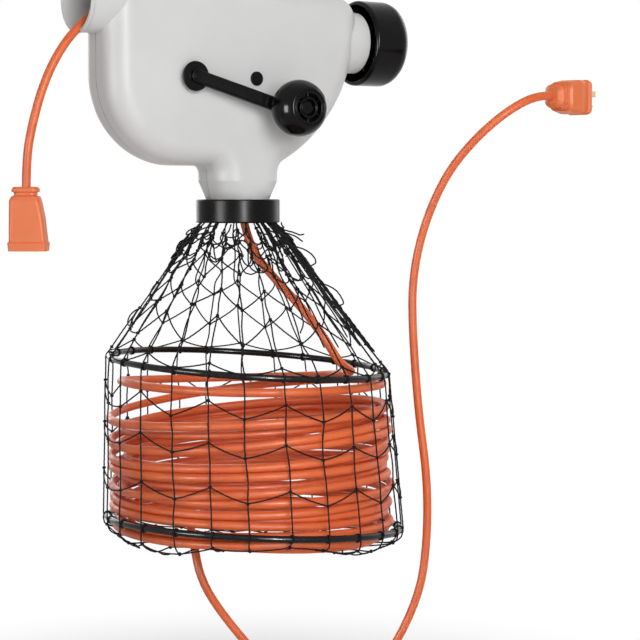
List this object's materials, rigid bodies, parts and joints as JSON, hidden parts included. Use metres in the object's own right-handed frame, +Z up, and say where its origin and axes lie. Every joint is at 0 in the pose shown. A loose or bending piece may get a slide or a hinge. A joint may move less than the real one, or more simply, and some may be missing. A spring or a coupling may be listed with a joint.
{
  "type": "extension cord reel",
  "caption": "Hand-cranked cord winder in a moulded housing; a pinch roller feeds the cord into a net bag hung on hoops below.",
  "frame": {"origin": "centre of the hanging eye through the carrying handle, midway between its two faces", "axes": "+X from the cord mouth to the tension knob, +Y from the crank side to the back along the eye, +Z up"},
  "size_m": [0.5842, 0.327, 0.7848],
  "materials": {
    "housing": "satin moulded plastic",
    "black_plastic": "satin black plastic",
    "knob_plastic": "glossy black plastic",
    "nylon": "plain moulded plastic",
    "steel": "bright zinc",
    "spring_steel": "drawn wire",
    "rubber": "soft rubber",
    "net": "knotted black twine",
    "hoop": "black rod, glossy",
    "cord": "orange cord sheath",
    "cord_fitting": "orange moulded sheath",
    "brass": "bright"
  },
  "bodies": {
    "root": {"front_shell": "housing", "rear_shell": "housing", "case_screws": "steel", "carry_handle": "black_plastic", "axle_bush_front": "nylon", "axle_bush_rear": "nylon", "yoke_pivot_front": "black_plastic", "yoke_pivot_rear": "black_plastic", "pressure_spring": "spring_steel", "bag_ring": "black_plastic", "net_cone": "net", "net_side": "net", "net_bottom": "net", "top_hoop": "hoop", "bottom_hoop": "hoop", "cord_lead": "cord", "cord_inner": "cord", "cord_drop": "cord", "cord_coil": "cord", "cord_tail": "cord", "cord_connector": "cord_fitting", "cord_plug": "cord_fitting", "plug_blades": "brass"},
    "crank": {"drive_axle": "steel", "drive_wheel": "nylon", "drive_tyre": "rubber", "crank_arm": "black_plastic", "crank_screw": "steel", "knob_pin": "steel"},
    "knob": {"crank_knob": "knob_plastic"},
    "yoke": {"pinch_yoke": "nylon", "roller_axle": "steel"},
    "roller": {"roller_hub": "nylon", "roller_tyre": "rubber"},
    "tension": {"tension_knob": "knob_plastic", "tension_screw": "steel"},
    "seat": {"spring_seat": "nylon"},
    "collar": {"neck_collar": "black_plastic"}
  },
  "joints": [
    {"name": "crank_spin", "type": "hinge", "parent": "root", "child": "crank", "pos_m": [-0.071, 0, -0.15], "axis": [0, 1, 0], "continuous": true},
    {"name": "knob_spin", "type": "hinge", "parent": "crank", "child": "knob", "pos_m": [0.02448, -0.0655, -0.17974], "axis": [0, 1, 0], "continuous": true},
    {"name": "yoke_swing", "type": "hinge", "parent": "root", "child": "yoke", "pos_m": [0.0015, 0, -0.15], "axis": [0, 1, 0], "range_deg": [0, 8], "stiffness_Nm_per_rad": 6, "springref_deg": -6.88, "deforming": ["pressure_spring"]},
    {"name": "roller_spin", "type": "hinge", "parent": "yoke", "child": "roller", "pos_m": [0.00388, 0, -0.10729], "axis": [0, 1, 0], "continuous": true},
    {"name": "tension_turn", "type": "hinge", "parent": "root", "child": "tension", "pos_m": [0.15, 0, -0.108], "axis": [1, 0, 0], "range_deg": [0, 720]},
    {"name": "seat_slide", "type": "slide", "parent": "root", "child": "seat", "axis": [-1, 0, 0], "range_m": [0, 0.006], "deforming": ["pressure_spring"]},
    {"name": "collar_twist", "type": "hinge", "parent": "root", "child": "collar", "pos_m": [0, 0, -0.28], "axis": [0, 0, 1], "range_deg": [0, 60]}
  ],
  "couplings": [
    {"joint": "roller_spin", "follows": "crank_spin", "ratio": -4.4713},
    {"joint": "seat_slide", "follows": "tension_turn", "m_per_rad": 0.00047746}
  ]
}
